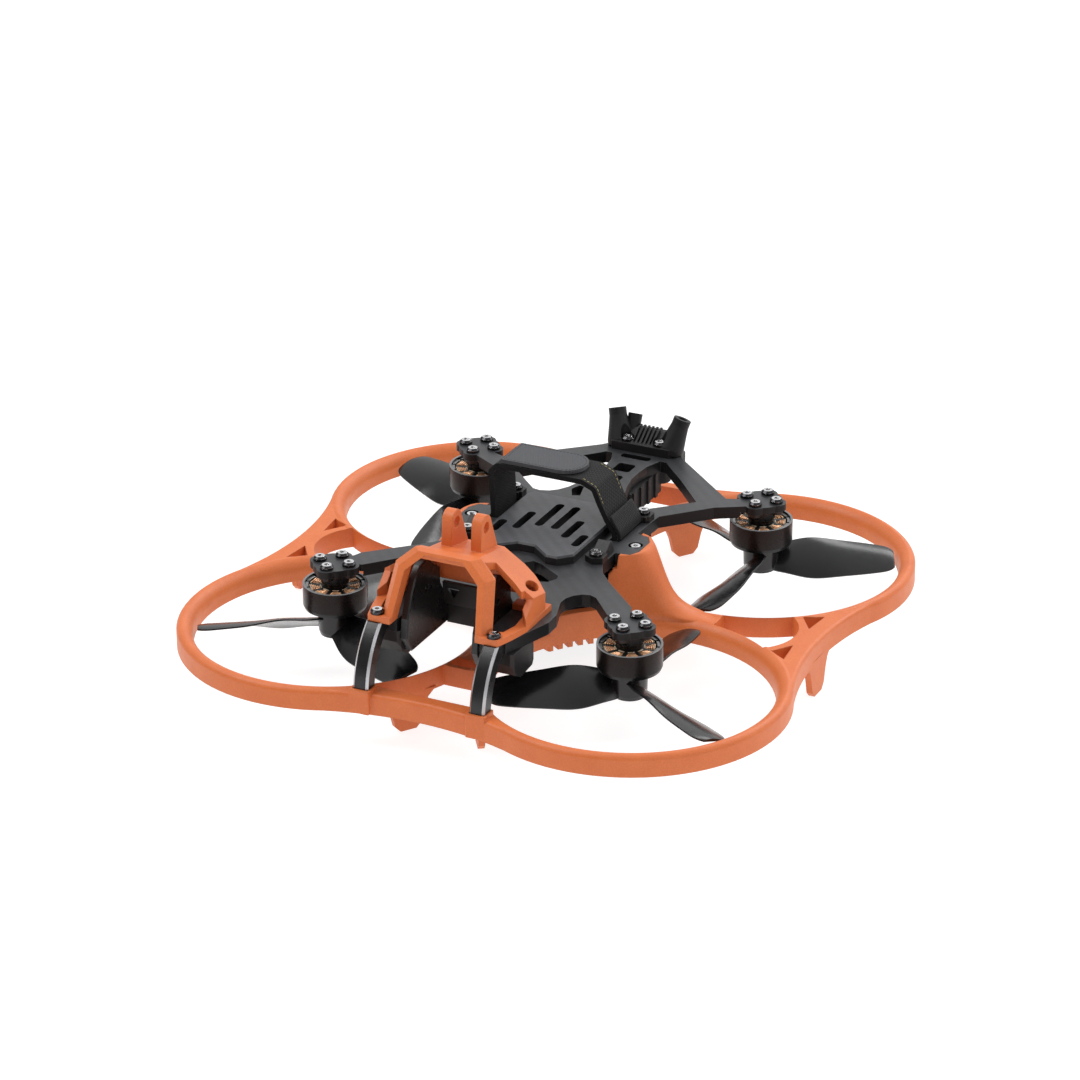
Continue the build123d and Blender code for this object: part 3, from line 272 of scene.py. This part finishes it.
def black_screw(name):
    """Black screw head whose flat ring round the socket is rubbed bright."""
    n = grained(name, rgba(52, 52, 54), rgba(70, 70, 72), 0.15, metallic=1.0, edge=rgba(246, 246, 248), wear=1.0,
                radius=0.00018, depth=0.000006)
    base = n.shader.inputs["Base Color"].links[0].from_socket
    n.set("Base Color", n.mix(n.math("MULTIPLY", n.top_face(0.93, 0.99), 0.85), base, rgba(236, 236, 238)))
    return n


def chamfered_metal(name):
    """Black anodised bar whose diamond-cut chamfers are bare and bright."""
    n = grained(name, rgba(17, 17, 18), rgba(23, 23, 24), 0.30, edge=rgba(150, 150, 150), wear=0.6,
                radius=0.00015, shine=0.5)
    lean = n.side_lean()
    cut = n.math("MULTIPLY", n.range(lean, 0.45, 0.58, 0.0, 1.0), n.range(lean, 0.9, 0.8, 0.0, 1.0))
    base = n.shader.inputs["Base Color"].links[0].from_socket
    n.set("Base Color", n.mix(cut, base, rgba(186, 187, 190)))
    n.set("Metallic", n.math("MULTIPLY", cut, 0.95))
    return n


def make_materials():
    m = {}
    m["orange_plastic"] = grained("orange_plastic", rgba(214, 110, 56), rgba(221, 118, 62), 0.46,
                                  edge=rgba(238, 148, 98), radius=0.0004, shine=0.42, grain=2600)
    m["carbon_plate"] = laminate("carbon_plate", rgba(42, 43, 45), rgba(56, 57, 60), rgba(13, 13, 14), 0.36)
    m["deck_plate"] = laminate("deck_plate", rgba(66, 67, 70), rgba(84, 85, 89), rgba(15, 15, 16), 0.38)
    m["black_anodised"] = grained("black_anodised", rgba(16, 16, 17), rgba(22, 22, 23), 0.30,
                                  edge=rgba(80, 80, 82), shine=0.5)
    m["bell_black"] = machined_bell("bell_black")
    m["strut_metal"] = chamfered_metal("strut_metal")
    m["black_moulding"] = grained("black_moulding", rgba(17, 17, 18), rgba(24, 24, 25), 0.42,
                                  edge=rgba(58, 58, 60), shine=0.4)
    m["soft_black"] = grained("soft_black", rgba(20, 20, 21), rgba(27, 27, 28), 0.55, grain=2500,
                              edge=rgba(52, 52, 54), shine=0.35)
    m["steel_fastener"] = black_screw("steel_fastener")
    m["bearing_steel"] = grained("bearing_steel", rgba(150, 150, 152), rgba(170, 170, 172), 0.25, metallic=1.0,
                                 depth=0.000006)
    m["magnet_nickel"] = grained("magnet_nickel", rgba(130, 130, 130), rgba(150, 150, 150), 0.3, metallic=1.0,
                                 depth=0.000006)
    m["stator_core"] = grained("stator_core", rgba(24, 27, 26), rgba(34, 38, 36), 0.45, metallic=0.2)
    m["copper_wire"] = grained("copper_wire", rgba(206, 142, 100), rgba(240, 192, 150), 0.24, metallic=0.6,
                               radius=0.00005, depth=0.000005, speck=900)
    m["insulation"] = grained("insulation", rgba(214, 190, 160), rgba(230, 210, 184), 0.45, radius=0.0001)
    m["prop_plastic"] = grained("prop_plastic", rgba(17, 18, 20), rgba(22, 23, 25), 0.22, depth=0.000008,
                                edge=rgba(60, 62, 64), wear=0.4, radius=0.0002, shine=0.5)
    m["webbing"] = woven("webbing", rgba(5, 5, 6), rgba(18, 18, 19), 0.0008, 0.0007, 0.72)
    m["patch_grip"] = woven("patch_grip", rgba(66, 67, 70), rgba(90, 91, 95), 0.0005, 0.0005, 0.6)
    m["thread"] = grained("thread", rgba(170, 150, 96), rgba(198, 178, 122), 0.6, radius=0.00003,
                          depth=0.00001, speck=1200)
    m["thread_black"] = grained("thread_black", rgba(10, 10, 11), rgba(16, 16, 17), 0.6, radius=0.00003,
                                depth=0.00001, speck=1200)
    m["tail_webbing"] = woven("tail_webbing", rgba(5, 5, 6), rgba(13, 13, 14), 0.0006, 0.00045, 0.6)
    m["circuit_board"] = grained("circuit_board", rgba(14, 22, 19), rgba(22, 32, 28), 0.35)
    m["board_chip"] = grained("board_chip", rgba(22, 22, 22), rgba(30, 30, 30), 0.45)
    m["white_connector"] = grained("white_connector", rgba(222, 220, 210), rgba(234, 232, 224), 0.4,
                                   edge=rgba(246, 245, 240))
    m["shield_can"] = grained("shield_can", rgba(160, 160, 162), rgba(180, 180, 182), 0.3, metallic=1.0,
                              depth=0.000006)
    return {name: n.material for name, n in m.items()}


def dress(materials):
    """Give every CAD node the material of its slot."""
    for part in frame["record"]["subparts"]:
        obj = nodes[part["node"]]
        name = part["material_slot"]
        if part["node"].startswith("bell_"):
            name = "bell_black"
        for slot in obj.material_slots:
            slot.material = materials[name]


# ---------------------------------------------------------------- modelled pieces
def mesh_object(name, build, material):
    """New object whose mesh is filled in by build(bm), smooth shaded, in the row frame."""
    mesh = bpy.data.meshes.new(name)
    bm = bmesh.new()
    build(bm)
    for face in bm.faces:
        face.smooth = True
    bm.to_mesh(mesh)
    bm.free()
    mesh.materials.append(material)
    obj = bpy.data.objects.new(name, mesh)
    bpy.context.scene.collection.objects.link(obj)
    return obj


def sweep_ring(bm, points, radius, sides=6):
    """Closed tube through a loop of points."""
    count = len(points)
    rings = []
    for i, point in enumerate(points):
        along = (points[(i + 1) % count] - points[i - 1]).normalized()
        centre = sum(points, Vector()) / count
        outward = (point - centre)
        outward = (outward - along * outward.dot(along)).normalized()
        beside = along.cross(outward)
        rings.append([bm.verts.new(point + radius * (cos(2 * pi * k / sides) * outward
                                                     + sin(2 * pi * k / sides) * beside))
                      for k in range(sides)])
    for i in range(count):
        a, b = rings[i], rings[(i + 1) % count]
        for k in range(sides):
            bm.faces.new((a[k], a[(k + 1) % sides], b[(k + 1) % sides], b[k]))


def coil_loop(angle, centre, radial, half_w, z_low, z_high):
    """Rounded rectangle of wire round a tooth, at one distance from the motor axis."""
    corner = 0.0005
    out = Vector((cos(angle), sin(angle), 0))
    side = Vector((-sin(angle), cos(angle), 0))
    points = []
    for cx, cz, start in ((half_w - corner, z_high - corner, 0), (-half_w + corner, z_high - corner, 90),
                          (-half_w + corner, z_low + corner, 180), (half_w - corner, z_low + corner, 270)):
        for turn in (0, 30, 60, 90):
            t = radians(start + turn)
            points.append(centre + out * radial + side * (cx + corner * cos(t))
                          + Vector((0, 0, cz + corner * sin(t))))
    return points


TEETH = 9
LOOPS = 5                   # visible wire loops on one tooth, from the shaft outward
WIRE_RADIUS = 0.00026


def make_windings(corner, cx, cy):
    """Copper coils round the teeth of one stator, with their pale insulating collars."""
    low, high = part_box(f"windings_{corner}")
    rng = random.Random(corner)
    centre = Vector((cx, cy, 0))
    turns = [radians(360 / TEETH * (k + 0.5)) for k in range(TEETH)]
    z_low, z_high = low[2] + 0.0001, high[2] - 0.00015
    wire = WIRE_RADIUS

    def coils(bm):
        for angle in turns:
            for j in range(LOOPS):
                radial = 0.0043 + 0.00052 * j
                half_w = 0.00085 + 0.00016 * j + rng.uniform(-0.00006, 0.00006)
                loop = coil_loop(angle, centre, radial, half_w, z_low + wire, z_high - wire - 0.0001 * (LOOPS - 1 - j)
                                 + rng.uniform(-0.00008, 0.00008))
                sweep_ring(bm, loop, wire)

    def collars(bm):
        for angle in turns:
            for radial, half_w in ((0.00395, 0.0009), (0.00672, 0.00175)):
                out = Vector((cos(angle), sin(angle), 0))
                side = Vector((-sin(angle), cos(angle), 0))
                corners = []
                for dr in (-0.00012, 0.00012):
                    for ds, z in ((-half_w, z_low), (half_w, z_low), (half_w, z_high - 0.0003),
                                  (-half_w, z_high - 0.0003)):
                        corners.append(bm.verts.new(centre + out * (radial + dr) + side * ds + Vector((0, 0, z))))
                a, b = corners[:4], corners[4:]
                bm.faces.new(a[::-1])
                bm.faces.new(b)
                for k in range(4):
                    bm.faces.new((a[k], a[(k + 1) % 4], b[(k + 1) % 4], b[k]))

    wound = mesh_object(f"coils_{corner}", coils, materials["copper_wire"])
    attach(wound, "airframe")
    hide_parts(f"windings_{corner}")
    ends = mesh_object(f"coil_collars_{corner}", collars, materials["insulation"])
    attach(ends, "airframe")


def stitch_row(bm, points, spacing, length, radius):
    """Thread stitches along a line of (position, normal) pairs."""
    distance, due = 0.0, 0.0
    for (a, na), (b, nb) in zip(points, points[1:]):
        step = (b - a).length
        if step == 0:
            continue
        along = (b - a) / step
        while due <= distance + step:
            t = (due - distance) / step
            place = a.lerp(b, t)
            normal = na.lerp(nb, t).normalized()
            beside = along.cross(normal).normalized()
            rings = []
            for f, r in ((-0.5, 0.35), (-0.3, 0.9), (0.0, 1.0), (0.3, 0.9), (0.5, 0.35)):
                rings.append([bm.verts.new(place + along * (f * length)
                                           + radius * r * (cos(2 * pi * k / 6) * beside
                                                           + sin(2 * pi * k / 6) * normal))
                              for k in range(6)])
            for first, second in zip(rings, rings[1:]):
                for k in range(6):
                    bm.faces.new((first[k], first[(k + 1) % 6], second[(k + 1) % 6], second[k]))
            bm.faces.new(rings[0][::-1])
            bm.faces.new(rings[-1])
            due += spacing
        distance += step


def on_surface(node, point):
    """Nearest place on a CAD node and its normal there, in the row frame."""
    obj = nodes[node]
    inverse = obj.matrix_world.inverted()
    hit, place, normal, _ = obj.closest_point_on_mesh(inverse @ Vector(point))
    assert hit
    return obj.matrix_world @ place, (obj.matrix_world.to_3x3() @ normal).normalized()


def make_stitches():
    """Sewing on the battery strap: both edges of its left leg, and round the grip patch."""
    low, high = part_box("battery_strap")
    patch_low, patch_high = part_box("strap_patch")

    def leg(bm):
        route = [(0.0095, high[2] + 0.001), (0.0119, 0.0492), (0.0135, 0.0470), (0.0140, 0.0440),
                 (0.0148, 0.0410), (0.0158, 0.0380)]
        for y in (low[1] + 0.0009, high[1] - 0.0009):
            placed = [on_surface("battery_strap", (x, y, z)) for x, z in route]
            dense = []
            for (a, na), (b, nb) in zip(placed, placed[1:]):
                dense += [(a.lerp(b, i / 6), na.lerp(nb, i / 6)) for i in range(6)]
            dense = [on_surface("battery_strap", tuple(p + n * 0.0004)) for p, n in dense]
            dense = [(Vector((p.x, y, p.z)), n) for p, n in dense]
            stitch_row(bm, dense, 0.00125, 0.0008, 0.00010)

    def border(bm):
        inset = 0.0007
        mid = (patch_low[1] + patch_high[1]) / 2
        radius = (patch_high[1] - patch_low[1]) / 2
        end = patch_high[0] - radius
        ring = [(end, patch_low[1] + inset), (patch_low[0] + inset, patch_low[1] + inset),
                (patch_low[0] + inset, patch_high[1] - inset), (end, patch_high[1] - inset)]
        for k in range(1, 16):
            t = pi / 2 - pi * k / 15
            ring.append((end + (radius - inset) * cos(t), mid + (radius - inset) * sin(t)))
        placed = [(Vector((x, y, patch_high[2])), Vector((0, 0, 1))) for x, y in ring]
        stitch_row(bm, placed, 0.0011, 0.0008, 0.00008)

    for name, build, thread in (("strap_stitches", leg, "thread"), ("patch_stitches", border, "thread_black")):
        piece = mesh_object(name, build, materials[thread])
        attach(piece, "airframe")


def make_strap_tail():
    """The strap's free end, folded over the lower half of its left leg."""
    low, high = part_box("battery_strap")
    heights = [0.0336 + 0.0009 * k for k in range(13)]
    mid_y = (low[1] + high[1]) / 2
    inner, outer = [], []
    for k, z in enumerate(heights):
        place, normal = on_surface("battery_strap", (0.026, mid_y, z))
        lift = 0.00025 + (0.0002 if k == len(heights) - 1 else 0.0)
        inner.append(place + normal * lift)
        outer.append(place + normal * (lift + 0.0010))

    def sheet(bm):
        across = 14
        half = (high[1] - low[1]) / 2 + 0.0004
        grid = {}
        for side, line in (("in", inner), ("out", outer)):
            for i, point in enumerate(line):
                for j in range(across + 1):
                    y = mid_y - half + 2 * half * j / across
                    grid[side, i, j] = bm.verts.new((point.x, y, point.z))
        rows = len(inner) - 1
        for i in range(rows):
            for j in range(across):
                bm.faces.new((grid["out", i, j], grid["out", i, j + 1], grid["out", i + 1, j + 1],
                              grid["out", i + 1, j]))
                bm.faces.new((grid["in", i, j], grid["in", i + 1, j], grid["in", i + 1, j + 1],
                              grid["in", i, j + 1]))
            for j in (0, across):
                ring = (grid["in", i, j], grid["out", i, j], grid["out", i + 1, j], grid["in", i + 1, j])
                bm.faces.new(ring if j == 0 else ring[::-1])
        for i in (0, rows):
            for j in range(across):
                ring = (grid["in", i, j], grid["in", i, j + 1], grid["out", i, j + 1], grid["out", i, j])
                bm.faces.new(ring if i == 0 else ring[::-1])

    piece = mesh_object("strap_tail", sheet, materials["tail_webbing"])
    bevel = piece.modifiers.new("edge", "BEVEL")
    bevel.width = 0.0003
    bevel.segments = 2
    bevel.limit_method = "ANGLE"
    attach(piece, "airframe")


# ---------------------------------------------------------------- studio
def area_light(name, place, target, size, power):
    data = bpy.data.lights.new(name, "AREA")
    data.shape = "RECTANGLE"
    data.size, data.size_y = size
    data.energy = power
    light = bpy.data.objects.new(name, data)
    light.location = place
    light.rotation_euler = (Vector(target) - Vector(place)).to_track_quat("-Z", "Y").to_euler()
    bpy.context.scene.collection.objects.link(light)


def make_studio():
    mesh = bpy.data.meshes.new("floor")
    bm = bmesh.new()
    bmesh.ops.create_grid(bm, x_segments=8, y_segments=8, size=6.0)
    bm.to_mesh(mesh)
    bm.free()
    floor = bpy.data.objects.new("floor", mesh)
    bpy.context.scene.collection.objects.link(floor)
    n = Nodes("floor_paper")
    paper = n.range(n.noise(3.0), 0.3, 0.7, 0.0, 1.0)
    n.set("Base Color", n.mix(paper, (0.34, 0.34, 0.34, 1), (0.37, 0.37, 0.37, 1)))
    n.set("Roughness", 0.9)
    n.set("Specular IOR Level", 0.1)
    n.set("Emission Color", (1, 1, 1, 1))
    n.set("Emission Strength", 0.84)
    mesh.materials.append(n.material)
    make_world()
    area_light("key", (-0.75, -0.35, 1.25), (0, 0, 0), (0.9, 0.9), 11.5)
    area_light("fill", (1.2, -0.8, 0.9), (0, 0, 0), (0.8, 0.8), 3.2)
    area_light("back", (0.35, 1.1, 1.1), (0, 0, 0), (1.2, 0.6), 9)
    bpy.context.scene.view_settings.view_transform = "Standard"


def make_world():
    """White studio tent, brighter overhead and behind the object than in front of it."""
    world = bpy.data.worlds.new("studio")
    world.use_nodes = True
    tree = world.node_tree
    background = tree.nodes["Background"]
    background.inputs["Color"].default_value = (1, 1, 1, 1)
    coords = tree.nodes.new("ShaderNodeTexCoord")
    aim = tree.nodes.new("ShaderNodeVectorMath")
    aim.operation = "DOT_PRODUCT"
    aim.inputs[1].default_value = Vector((0.25, 0.75, 0.61)).normalized()
    tree.links.new(coords.outputs["Generated"], aim.inputs[0])
    ramp = tree.nodes.new("ShaderNodeMapRange")
    ramp.interpolation_type = "SMOOTHSTEP"
    ramp.inputs["From Min"].default_value = -0.3
    ramp.inputs["From Max"].default_value = 0.95
    ramp.inputs["To Min"].default_value = 0.22
    ramp.inputs["To Max"].default_value = 0.95
    tree.links.new(aim.outputs["Value"], ramp.inputs["Value"])
    tree.links.new(ramp.outputs["Result"], background.inputs["Strength"])
    bpy.context.scene.world = world


MOTOR_AT = {"front_left": (0.04455, -0.04455), "front_right": (-0.04455, -0.04455),
            "rear_left": (0.04455, 0.04455), "rear_right": (-0.04455, 0.04455)}

make_camera()
materials = make_materials()
dress(materials)
for corner in CORNERS:
    make_windings(corner, *MOTOR_AT[corner])
make_stitches()
make_strap_tail()
make_studio()
